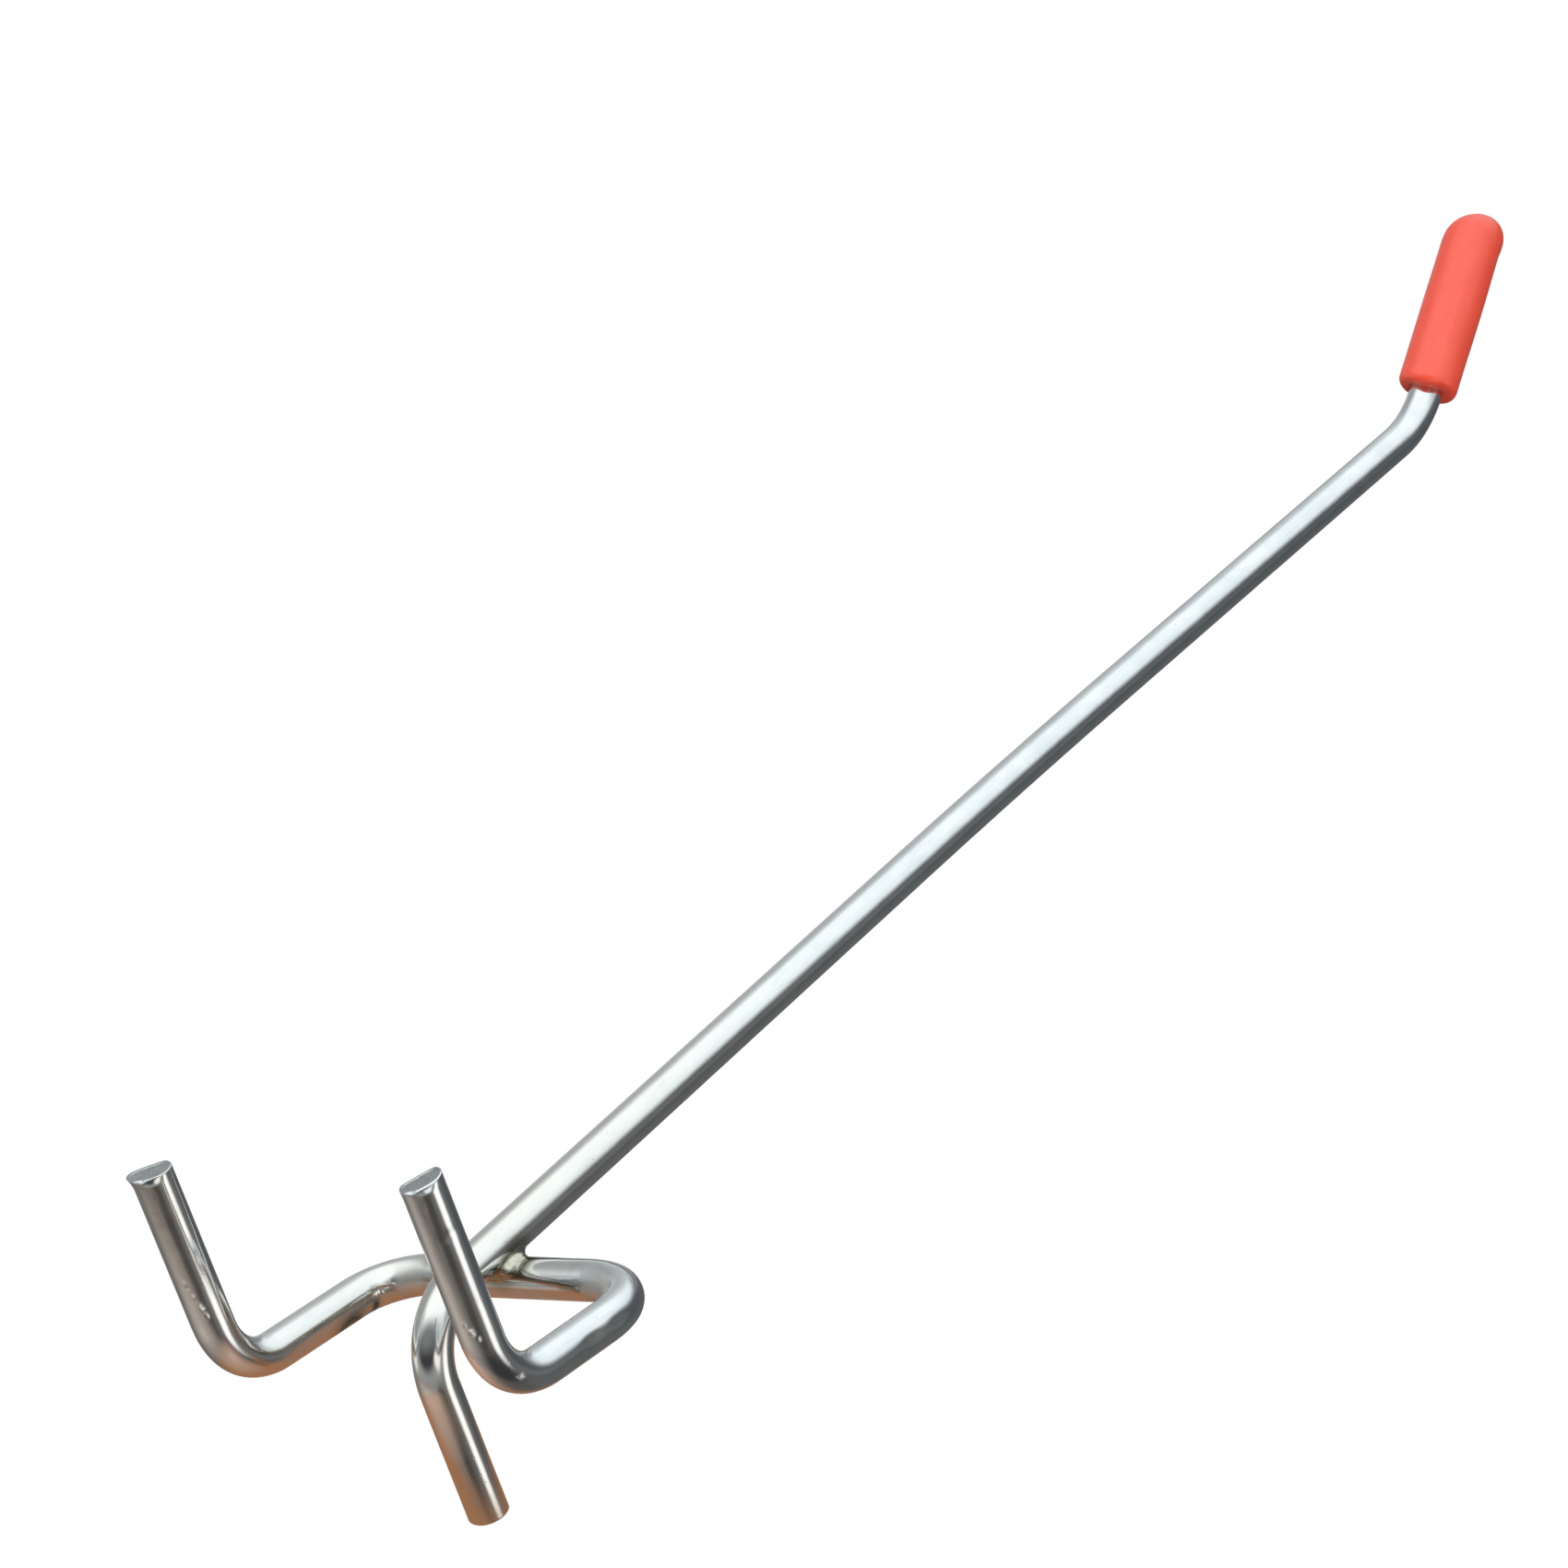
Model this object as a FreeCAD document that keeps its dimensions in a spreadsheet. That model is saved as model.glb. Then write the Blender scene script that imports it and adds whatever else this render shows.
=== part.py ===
import FreeCAD, Part
import math
import os
import Sketcher
from FreeCAD import Placement, Rotation, Vector

# Pegboard hook: a bent arm wire welded across the cross bar of a bent peg wire, with a soft cap on the tip.
# Millimetres. +Z up the board, +Y out of the board along the arm, +X along the cross bar.
# Origin: midway between the two legs, on their axes, where they pass the board's front face.

doc = FreeCAD.newDocument("pegboard_hook")

# ---------------------------------------------------------------- driving dimensions
sheet = doc.addObject("Spreadsheet::Sheet", "dims")
DIMS = [
    ("wire_dia", 3.0),           # wire diameter, both wires
    ("peg_pitch", 25.0),         # hole pitch: distance between the two pegs
    ("leg_length", 17.16),       # elbow corner to cross bar, along the leg
    ("leg_slope", 7.0),          # legs dip towards the arm
    ("elbow_radius", 4.5),       # centre-line radius between peg and leg
    ("peg_height", 16.47),       # elbow corner to the cut end of the peg
    ("corner_left", 4.3),        # centre-line radius of the left corner
    ("corner_right", 6.2),       # centre-line radius of the right corner
    ("lip_height", 0.9),         # length of the sheared end of a peg
    ("lip_left_radius", 1.65),   # sheared end, left peg
    ("lip_left_shift", 0.22),
    ("lip_right_radius", 1.57),  # sheared end, right peg
    ("lip_right_shift", 0.08),
    ("lip_heading", 215.0),      # direction of the sheared lip about +Z
    ("arm_offset", -1.28),       # arm axis from the middle of the cross bar
    ("weld_sink", 0.3),          # how far the two wires are sunk into each other
    ("drop_setback", 9.9),       # drop leg axis behind the cross bar axis
    ("drop_radius", 5.5),        # centre-line radius between drop leg and arm
    ("drop_length", 16.0),       # arm height to the lower end of the drop leg
    ("arm_run", 139.9),          # cross bar to the corner of the tip
    ("arm_camber", 0.7),         # rise of the arm's two straights where they would meet
    ("camber_radius", 1500.0),   # the slight bend between the arm's two straights
    ("tip_angle", 31.4),         # tip above level
    ("tip_radius", 13.5),        # centre-line radius of the tip's bend
    ("tip_length", 23.1),        # corner of the tip to the end of the cap
    ("cap_dia", 5.5),
    ("cap_setback", 4.1),        # corner of the tip to the cap's rim
    ("cap_dome", 2.5),           # height of the domed end
    ("cap_wall_end", 2.2),       # wall beyond the end of the wire
    ("cap_rim_outer", 0.5),      # rounding of the rim, outside
    ("cap_rim_inner", 0.3),      # rounding of the rim, inside
    ("weld_length", 2.5),        # half size of the bead along the cross bar
    ("weld_width", 2.0),         # half size along the arm
    ("weld_depth", 1.2),         # half size up
    ("weld_shift", 0.55),        # the bead is fuller on the right
]
for row, (name, value) in enumerate(DIMS, start=1):
    sheet.set("A%d" % row, name)
    sheet.set("B%d" % row, str(value))
    sheet.setAlias("B%d" % row, name)
n = len(DIMS)
# sizes that follow from the ones above
DERIVED = [
    ("wire_rad", "=wire_dia / 2"),
    ("bar_y", "=wire_rad + drop_setback"),
    ("bar_v", "=bar_y / cos(leg_slope * 1deg)"),
    ("bar_z", "=-bar_v * sin(leg_slope * 1deg)"),
    ("elbow_v", "=bar_v - leg_length"),
    ("elbow_y", "=elbow_v * cos(leg_slope * 1deg)"),
    ("elbow_z", "=-elbow_v * sin(leg_slope * 1deg)"),
    ("leg_start_v", "=elbow_v + elbow_radius * tan((90 - leg_slope) * 0.5deg)"),
    ("leg_start_y", "=leg_start_v * cos(leg_slope * 1deg)"),
    ("leg_start_z", "=-leg_start_v * sin(leg_slope * 1deg)"),
    ("peg_top_z", "=elbow_z + peg_height"),
    ("peg_straight_z", "=peg_top_z - lip_height"),
    ("arm_z", "=bar_z + wire_dia - weld_sink"),
    ("drop_end_z", "=arm_z - drop_length"),
    ("camber_slope", "=atan(2 * arm_camber / arm_run) / 1deg"),
    ("camber_y", "=bar_y + arm_run / 2"),
    ("camber_z", "=arm_z + arm_camber - camber_radius / cos(camber_slope * 1deg)"),
    ("tip_wire", "=tip_length - cap_wall_end"),
    ("tip_y", "=bar_y + arm_run"),
    ("tip_end_y", "=tip_y + tip_wire * cos(tip_angle * 1deg)"),
    ("tip_end_z", "=arm_z + tip_wire * sin(tip_angle * 1deg)"),
    ("cap_length", "=tip_length - cap_setback"),
    ("cap_y", "=tip_y + cap_setback * cos(tip_angle * 1deg)"),
    ("cap_z", "=arm_z + cap_setback * sin(tip_angle * 1deg)"),
    ("weld_x", "=arm_offset + weld_shift"),
    ("weld_z", "=arm_z - wire_rad + weld_sink / 2"),
]
for row, (name, formula) in enumerate(DERIVED, start=n + 2):
    sheet.set("A%d" % row, name)
    sheet.set("B%d" % row, formula)
    sheet.setAlias("B%d" % row, name)
doc.recompute()


def val(name):
    v = getattr(sheet, name)
    return float(getattr(v, "Value", v))


def plane(body, role):
    for f in body.Origin.OriginFeatures:
        if f.Role == role:
            return f
    raise RuntimeError(role)


def sketch(body, name, role, offset=None):
    s = body.newObject("Sketcher::SketchObject", name)
    s.AttachmentSupport = [(plane(body, role), "")]
    s.MapMode = "FlatFace"
    if offset is not None:
        s.AttachmentOffset = offset
    return s


def bind(s, con, name, expr):
    # one named dimension of a sketch, tied to the sheet
    i = s.addConstraint(con)
    s.renameConstraint(i, name)
    s.setExpression("Constraints." + name, "dims." + expr if expr.isidentifier() else expr)


def line(s, a, b):
    return s.addGeometry(Part.LineSegment(Vector(a[0], a[1], 0), Vector(b[0], b[1], 0)), False)


def arc(s, c, r, a0, a1):
    # anticlockwise, angles in degrees
    circle = Part.Circle(Vector(c[0], c[1], 0), Vector(0, 0, 1), r)
    return s.addGeometry(Part.ArcOfCircle(circle, math.radians(a0), math.radians(a1)), False)


def disc(body, name, role, offset, centre, radius, exprs):
    # round section on a plane; exprs = (radius, x, y) in sheet terms
    s = sketch(body, name, role, offset)
    g = s.addGeometry(Part.Circle(Vector(centre[0], centre[1], 0), Vector(0, 0, 1), radius), False)
    bind(s, Sketcher.Constraint("Radius", g, radius), name + "_rad", exprs[0])
    for axis, value, expr in (("DistanceX", centre[0], exprs[1]), ("DistanceY", centre[1], exprs[2])):
        if expr is None:
            other = "Y" if axis == "DistanceX" else "X"
            s.addConstraint(Sketcher.Constraint("PointOnObject", g, 3, -2 if other == "Y" else -1))
        else:
            bind(s, Sketcher.Constraint(axis, -1, 1, g, 3, value), name + "_" + axis[-1].lower(), expr)
    return s


def pipe(body, name, profile, spine):
    p = body.newObject("PartDesign::AdditivePipe", name)
    p.Profile = profile
    p.Spine = (spine, [])
    p.Mode = "Standard"
    p.Transition = "Transformed"
    profile.Visibility = False
    spine.Visibility = False
    return p


wr = val("wire_rad")
slope = val("leg_slope")

# ---------------------------------------------------------------- arm wire
arm = doc.addObject("PartDesign::Body", "arm_body")
arm.Label = "arm_wire"
arm.setExpression("Placement.Base.x", "dims.arm_offset")

# centre line in the arm's own upright plane: drop leg, bend, two straights with a slight bend, bend, tip
path = sketch(arm, "arm_path", "YZ_Plane")
rd, rt, rc = val("drop_radius"), val("tip_radius"), val("camber_radius")
cy, cz = val("camber_y"), val("camber_z")
ca = val("camber_slope")
ta = val("tip_angle")
a, t = math.radians(ca), math.radians(ta)
y0, z0 = wr, val("drop_end_z")
c1y = wr + rd
c1z = val("arm_z") + (c1y - val("bar_y")) * math.tan(a) - rd / math.cos(a)
tl = rt * math.tan((a + t) / 2)
q1 = (val("tip_y") - tl * math.cos(a), val("arm_z") + tl * math.sin(a))
q2 = (val("tip_y") + tl * math.cos(t), val("arm_z") + tl * math.sin(t))
c3 = (q2[0] - rt * math.sin(t), q2[1] + rt * math.cos(t))
g_drop = line(path, (y0, z0), (y0, c1z))
g_bend = arc(path, (c1y, c1z), rd, 90.0 + ca, 180.0)
g_back = line(path, (c1y - rd * math.sin(a), c1z + rd * math.cos(a)), (cy - rc * math.sin(a), cz + rc * math.cos(a)))
g_rise = arc(path, (cy, cz), rc, 90.0 - ca, 90.0 + ca)
g_fore = line(path, (cy + rc * math.sin(a), cz + rc * math.cos(a)), q1)
g_turn = arc(path, c3, rt, 270.0 - ca, 270.0 + ta)
g_tip = line(path, q2, (val("tip_end_y"), val("tip_end_z")))
path.addConstraint(Sketcher.Constraint("Tangent", g_drop, 2, g_bend, 2))
path.addConstraint(Sketcher.Constraint("Tangent", g_bend, 1, g_back, 1))
path.addConstraint(Sketcher.Constraint("Tangent", g_back, 2, g_rise, 2))
path.addConstraint(Sketcher.Constraint("Tangent", g_rise, 1, g_fore, 1))
path.addConstraint(Sketcher.Constraint("Tangent", g_fore, 2, g_turn, 1))
path.addConstraint(Sketcher.Constraint("Tangent", g_turn, 2, g_tip, 1))
path.addConstraint(Sketcher.Constraint("Vertical", g_drop))
bind(path, Sketcher.Constraint("DistanceX", -1, 1, g_drop, 1, y0), "drop_y", "wire_rad")
bind(path, Sketcher.Constraint("DistanceY", -1, 1, g_drop, 1, z0), "drop_z", "drop_end_z")
bind(path, Sketcher.Constraint("Radius", g_bend, rd), "bend_rad", "drop_radius")
bind(path, Sketcher.Constraint("Radius", g_rise, rc), "rise_rad", "camber_radius")
bind(path, Sketcher.Constraint("Radius", g_turn, rt), "turn_rad", "tip_radius")
bind(path, Sketcher.Constraint("DistanceX", -1, 1, g_rise, 3, cy), "rise_y", "camber_y")
bind(path, Sketcher.Constraint("DistanceY", -1, 1, g_rise, 3, cz), "rise_z", "camber_z")
bind(path, Sketcher.Constraint("Angle", g_back, a), "back_angle", "dims.camber_slope * 1deg")
bind(path, Sketcher.Constraint("Angle", g_fore, -a), "fore_angle", "-dims.camber_slope * 1deg")
bind(path, Sketcher.Constraint("DistanceX", -1, 1, g_tip, 2, val("tip_end_y")), "end_y", "tip_end_y")
bind(path, Sketcher.Constraint("DistanceY", -1, 1, g_tip, 2, val("tip_end_z")), "end_z", "tip_end_z")
bind(path, Sketcher.Constraint("Angle", g_tip, t), "end_angle", "dims.tip_angle * 1deg")

section = disc(arm, "arm_section", "XY_Plane", Placement(Vector(0, 0, z0), Rotation()), (0, wr), wr,
               ("wire_rad", None, "wire_rad"))
section.setExpression("AttachmentOffset.Base.z", "dims.drop_end_z")
arm_pipe = pipe(arm, "arm_pipe", section, path)

# ---------------------------------------------------------------- peg wire
pegs = doc.addObject("PartDesign::Body", "peg_body")
pegs.Label = "bent_pegs"
half = val("peg_pitch") / 2
bv, sv = val("bar_v"), val("leg_start_v")
rl, rr = val("corner_left"), val("corner_right")

# legs and cross bar: a U in the sloping plane through the origin
loop = sketch(pegs, "loop_path", "XY_Plane", Placement(Vector(), Rotation(Vector(1, 0, 0), -slope)))
loop.setExpression("AttachmentOffset.Rotation.Angle", "-dims.leg_slope * 1deg")
g1 = line(loop, (-half, sv), (-half, bv - rl))
g2 = arc(loop, (-half + rl, bv - rl), rl, 90, 180)
g3 = line(loop, (-half + rl, bv), (half - rr, bv))
g4 = arc(loop, (half - rr, bv - rr), rr, 0, 90)
g5 = line(loop, (half, bv - rr), (half, sv))
loop.addConstraint(Sketcher.Constraint("Tangent", g1, 2, g2, 2))
loop.addConstraint(Sketcher.Constraint("Tangent", g2, 1, g3, 1))
loop.addConstraint(Sketcher.Constraint("Tangent", g3, 2, g4, 2))
loop.addConstraint(Sketcher.Constraint("Tangent", g4, 1, g5, 1))
loop.addConstraint(Sketcher.Constraint("Vertical", g1))
loop.addConstraint(Sketcher.Constraint("Horizontal", g3))
loop.addConstraint(Sketcher.Constraint("Vertical", g5))
bind(loop, Sketcher.Constraint("DistanceX", g1, 1, -1, 1, half), "left_x", "dims.peg_pitch / 2")
bind(loop, Sketcher.Constraint("DistanceX", -1, 1, g5, 2, half), "right_x", "dims.peg_pitch / 2")
bind(loop, Sketcher.Constraint("DistanceY", -1, 1, g1, 1, sv), "left_v", "leg_start_v")
bind(loop, Sketcher.Constraint("DistanceY", -1, 1, g5, 2, sv), "right_v", "leg_start_v")
bind(loop, Sketcher.Constraint("DistanceY", -1, 1, g3, 1, bv), "bar_at", "bar_v")
bind(loop, Sketcher.Constraint("Radius", g2, rl), "rad_left", "corner_left")
bind(loop, Sketcher.Constraint("Radius", g4, rr), "rad_right", "corner_right")

leg_section = disc(pegs, "leg_section", "XZ_Plane",
                   Placement(Vector(0, val("leg_start_z"), -val("leg_start_y")), Rotation(Vector(1, 0, 0), -slope)),
                   (-half, 0), wr, ("wire_rad", "-dims.peg_pitch / 2", None))
leg_section.setExpression("AttachmentOffset.Base.y", "dims.leg_start_z")
leg_section.setExpression("AttachmentOffset.Base.z", "-dims.leg_start_y")
leg_section.setExpression("AttachmentOffset.Rotation.Angle", "-dims.leg_slope * 1deg")
loop_pipe = pipe(pegs, "loop_pipe", leg_section, loop)

# elbows and pegs: an arc and a straight in the upright plane of each leg
ey, er = val("elbow_y"), val("elbow_radius")
ly, lz = val("leg_start_y"), val("leg_start_z")
czz = lz + er * math.cos(math.radians(slope))
tops = []
for side, sign in (("left", -1.0), ("right", 1.0)):
    rise = sketch(pegs, side + "_rise", "YZ_Plane", Placement(Vector(0, 0, sign * half), Rotation()))
    rise.setExpression("AttachmentOffset.Base.z", "%g * dims.peg_pitch / 2" % sign)
    ga = arc(rise, (ey + er, czz), er, 180.0, 270.0 - slope)
    gl = line(rise, (ey, czz), (ey, val("peg_straight_z")))
    rise.addConstraint(Sketcher.Constraint("Tangent", ga, 1, gl, 1))
    rise.addConstraint(Sketcher.Constraint("Vertical", gl))
    bind(rise, Sketcher.Constraint("Radius", ga, er), side + "_rad", "elbow_radius")
    bind(rise, Sketcher.Constraint("DistanceX", gl, 2, -1, 1, -ey), side + "_y", "-dims.elbow_y")
    bind(rise, Sketcher.Constraint("DistanceY", -1, 1, gl, 2, val("peg_straight_z")), side + "_z", "peg_straight_z")
    bind(rise, Sketcher.Constraint("DistanceX", ga, 2, -1, 1, -ly), side + "_leg_y", "-dims.leg_start_y")
    bind(rise, Sketcher.Constraint("DistanceY", -1, 1, ga, 2, lz), side + "_leg_z", "leg_start_z")
    top = disc(pegs, side + "_top", "XY_Plane", Placement(Vector(0, 0, val("peg_straight_z")), Rotation()),
               (sign * half, ey), wr, ("wire_rad", "%g * dims.peg_pitch / 2" % sign, "elbow_y"))
    top.setExpression("AttachmentOffset.Base.z", "dims.peg_straight_z")
    pipe(pegs, side + "_peg", top, rise)
    doc.recompute()
    # sheared end: the section swells to one side towards the cut
    lr, ls = val("lip_%s_radius" % side), val("lip_%s_shift" % side)
    hd = math.radians(val("lip_heading"))
    seat = disc(pegs, side + "_seat", "XY_Plane", Placement(Vector(0, 0, val("peg_straight_z")), Rotation()),
                (sign * half, ey), wr, ("wire_rad", "%g * dims.peg_pitch / 2" % sign, "elbow_y"))
    seat.setExpression("AttachmentOffset.Base.z", "dims.peg_straight_z")
    cut = disc(pegs, side + "_cut", "XY_Plane", Placement(Vector(0, 0, val("peg_top_z")), Rotation()),
               (sign * half + ls * math.cos(hd), ey + ls * math.sin(hd)), lr,
               ("lip_%s_radius" % side,
                "%g * dims.peg_pitch / 2 + dims.lip_%s_shift * cos(dims.lip_heading * 1deg)" % (sign, side),
                "dims.elbow_y + dims.lip_%s_shift * sin(dims.lip_heading * 1deg)" % side))
    cut.setExpression("AttachmentOffset.Base.z", "dims.peg_top_z")
    lip = pegs.newObject("PartDesign::AdditiveLoft", side + "_lip")
    lip.Profile = seat
    lip.Sections = [cut]
    lip.Ruled = False
    doc.recompute()

# the arm lies in a saddle pressed into the cross bar
peg_wire = doc.addObject("Part::Cut", "peg_saddle")
peg_wire.Label = "peg_wire"
peg_wire.Base = pegs
peg_wire.Tool = arm

# ---------------------------------------------------------------- weld bead round the crossing
blob = doc.addObject("Part::Ellipsoid", "weld_blob")
blob.Label = "weld_blob"
blob.setExpression("Radius1", "dims.weld_depth")
blob.setExpression("Radius2", "dims.weld_length")
blob.setExpression("Radius3", "dims.weld_width")
blob.setExpression("Placement.Base.x", "dims.weld_x")
blob.setExpression("Placement.Base.y", "dims.bar_y")
blob.setExpression("Placement.Base.z", "dims.weld_z")
blob_a = doc.addObject("Part::Cut", "weld_less_arm")
blob_a.Base = blob
blob_a.Tool = arm
weld = doc.addObject("Part::Cut", "weld_less_pegs")
weld.Label = "weld_bead"
weld.Base = blob_a
weld.Tool = pegs

# ---------------------------------------------------------------- tip cap
sleeve = doc.addObject("Part::Cylinder", "cap_sleeve")
sleeve.setExpression("Radius", "dims.cap_dia / 2")
sleeve.setExpression("Height", "dims.cap_length - dims.cap_dome")
dome = doc.addObject("Part::Ellipsoid", "cap_dome_end")
dome.setExpression("Radius1", "dims.cap_dome")
dome.setExpression("Radius2", "dims.cap_dia / 2")
dome.setExpression("Radius3", "dims.cap_dia / 2")
dome.Angle1 = 0
dome.Angle2 = 90
dome.setExpression("Placement.Base.z", "dims.cap_length - dims.cap_dome")
skin = doc.addObject("Part::Fuse", "cap_skin")
skin.Base = sleeve
skin.Tool = dome
bore = doc.addObject("Part::Cylinder", "cap_bore")
bore.setExpression("Radius", "dims.wire_rad")
bore.setExpression("Height", "dims.cap_length - dims.cap_wall_end")
hollow = doc.addObject("Part::Cut", "cap_hollow")
hollow.Base = skin
hollow.Tool = bore
doc.recompute()
# the moulded rim is rounded outside and inside
rim = []
for i, e in enumerate(hollow.Shape.Edges, start=1):
    if e.BoundBox.ZMax < 1e-6 and isinstance(e.Curve, Part.Circle):
        size = "cap_rim_outer" if e.Curve.Radius > wr + 0.1 else "cap_rim_inner"
        rim.append((i, val(size), val(size)))
cap = doc.addObject("Part::Fillet", "cap_rim")
cap.Label = "tip_cap"
cap.Base = hollow
cap.Edges = rim
cap.Placement = Placement(Vector(val("arm_offset"), val("cap_y"), val("cap_z")),
                          Rotation(Vector(-1, 0, 0), 90 - val("tip_angle")))
cap.setExpression("Placement.Base.x", "dims.arm_offset")
cap.setExpression("Placement.Base.y", "dims.cap_y")
cap.setExpression("Placement.Base.z", "dims.cap_z")
cap.setExpression("Placement.Rotation.Angle", "(90 - dims.tip_angle) * 1deg")

doc.recompute()

# ---------------------------------------------------------------- checks, then the files
bad = [o.Name for o in doc.Objects if "Invalid" in o.State or "Error" in o.State]
if bad:
    raise RuntimeError("failed objects: " + ", ".join(bad))
parts = [arm, peg_wire, weld, cap]
area = math.pi * wr * wr
for o in parts:
    s = o.Shape
    if s.isNull() or not s.isValid() or s.Volume <= 0:
        raise RuntimeError("bad shape: " + o.Label)
    bb = s.BoundBox
    print("%-10s solids %d volume %.2f box %.2f..%.2f %.2f..%.2f %.2f..%.2f" % (
        o.Label, len(s.Solids), s.Volume, bb.XMin, bb.XMax, bb.YMin, bb.YMax, bb.ZMin, bb.ZMax))
arm_length = sum(e.Length for e in path.Shape.Edges)
if abs(arm.Shape.Volume - area * arm_length) > 0.002 * arm.Shape.Volume:
    raise RuntimeError("arm volume %.2f against %.2f" % (arm.Shape.Volume, area * arm_length))
print("arm centre line %.2f, loop centre line %.2f" % (arm_length, sum(e.Length for e in loop.Shape.Edges)))

os.makedirs("parts", exist_ok=True)
for o in parts:
    o.Shape.exportStep("parts/%s.step" % o.Label)
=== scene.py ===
import math

import bmesh
import bpy
import numpy as np
from mathutils import Matrix, Vector, noise


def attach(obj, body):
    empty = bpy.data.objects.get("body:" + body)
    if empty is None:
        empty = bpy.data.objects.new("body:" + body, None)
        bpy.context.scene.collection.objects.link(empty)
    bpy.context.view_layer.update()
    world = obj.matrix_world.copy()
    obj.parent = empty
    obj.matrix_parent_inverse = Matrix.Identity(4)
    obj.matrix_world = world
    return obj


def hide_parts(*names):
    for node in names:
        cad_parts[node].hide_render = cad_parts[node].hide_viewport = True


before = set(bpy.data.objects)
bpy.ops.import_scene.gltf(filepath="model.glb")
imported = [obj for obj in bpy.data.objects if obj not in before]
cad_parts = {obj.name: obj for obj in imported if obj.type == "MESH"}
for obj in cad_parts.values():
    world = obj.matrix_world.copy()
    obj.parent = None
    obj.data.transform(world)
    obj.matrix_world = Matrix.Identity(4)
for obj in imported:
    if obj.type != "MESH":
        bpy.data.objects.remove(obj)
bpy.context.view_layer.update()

MM = 0.001
scene = bpy.context.scene


# ------------------------------------------------------------------ the wires' lines, in millimetres
WIRE = 1.497  # wire radius, a hair under the CAD's 1.5 so that the skin stays inside its box
HALF_PITCH = 12.5
SLOPE = math.radians(7.0)
LEG = 17.16
BAR_Y = 11.4
BAR_Z = -BAR_Y * math.tan(SLOPE)
ELBOW_Y = BAR_Y - LEG * math.cos(SLOPE)
ELBOW_Z = BAR_Z + LEG * math.sin(SLOPE)
PEG_TOP = ELBOW_Z + 16.47
ARM_X = -1.28
ARM_Z = BAR_Z + 2.7
ARM_RUN = 139.9
CAMBER = 0.7
DROP_Y = 1.5
DROP = 16.0
TIP = math.radians(31.4)
TIP_Y = BAR_Y + ARM_RUN
TIP_DIR = np.array([0.0, math.cos(TIP), math.sin(TIP)])
TIP_CORNER = np.array([ARM_X, TIP_Y, ARM_Z])
WIRE_END, CAP_RIM, CAP_END = 20.9, 4.1, 23.0  # along the tip, from its corner


def unit(v):
    return v / np.linalg.norm(v)


def route(corners, radii, step, arc_step):
    """Points, unit tangents and bend vectors (towards the bend's centre, 1/radius long) along straight runs and arcs."""
    c = [np.array(p, float) for p in corners]
    points, tangents, bends = [], [], []
    at = c[0]
    for i in range(1, len(c)):
        u = unit(c[i] - c[i - 1])
        end, turn = c[i], 0.0
        if i < len(c) - 1:
            w = unit(c[i + 1] - c[i])
            turn = math.acos(float(np.clip(u @ w, -1, 1)))
            cut = radii[i - 1] * math.tan(turn / 2)
            end = c[i] - u * cut
        n = max(2, math.ceil(np.linalg.norm(end - at) / step))
        for k in range(n):
            points.append(at + (end - at) * k / n)
            tangents.append(u)
            bends.append(np.zeros(3))
        if i < len(c) - 1:
            r = radii[i - 1]
            m = unit(w - u * math.cos(turn))
            centre = end + m * r
            n = max(6, math.ceil(r * turn / arc_step))
            for k in range(n):
                a = turn * k / n
                inward = m * math.cos(a) - u * math.sin(a)
                points.append(centre - inward * r)
                tangents.append(u * math.cos(a) + m * math.sin(a))
                bends.append(inward / r)
            at = c[i] + w * cut
    points.append(c[-1])
    tangents.append(u)
    bends.append(np.zeros(3))
    points = np.array(points)
    length = np.r_[0, np.cumsum(np.linalg.norm(np.diff(points, axis=0), axis=1))]
    return points, np.array(tangents), np.array(bends), length


def carried(tangents, first):
    """Two unit normals at every point, carried along the line without twist."""
    normals = np.zeros_like(tangents)
    n = np.array(first, float)
    for i, t in enumerate(tangents):
        n = unit(n - (n @ t) * t)
        normals[i] = n
    return normals, np.cross(tangents, normals)


def softened(values, length, width):
    """values along the line, averaged over a bell of that width."""
    w = np.exp(-(((length[:, None] - length[None, :]) / width) ** 2))
    w *= np.gradient(length)[None, :]
    return (w @ values) / w.sum(1)[:, None]


def wrapped(a):
    return (a + math.pi) % (2 * math.pi) - math.pi


def dents(s, angle, marks):
    """Depth of the tool marks and dents at (s, angle). A mark is (s, angle in degrees, length, width, depth)."""
    depth = np.zeros(np.broadcast(s, angle).shape)
    for s0, a0, ls, lt, d in marks:
        u = (s - s0) / ls
        v = wrapped(angle - math.radians(a0)) * WIRE / lt
        q = u * u + v * v
        depth += d * np.exp(-q)
        if ls < 0.4:
            depth -= 0.15 * d * np.exp(-((np.sqrt(q) - 1.8) ** 2) / 0.25)
    return depth


def ripple(s, angle, size, seed):
    """Slight unevenness of drawn and plated wire."""
    out = 0
    for k in range(9):
        f = seed * 1.7 + k * 2.399
        wave = 2.3 + 1.9 * k
        out = out + np.sin(2 * math.pi * s / wave + (k % 4) * angle + f) * math.sin(f * 3.1 + 1)
    return size * out / 3


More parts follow.
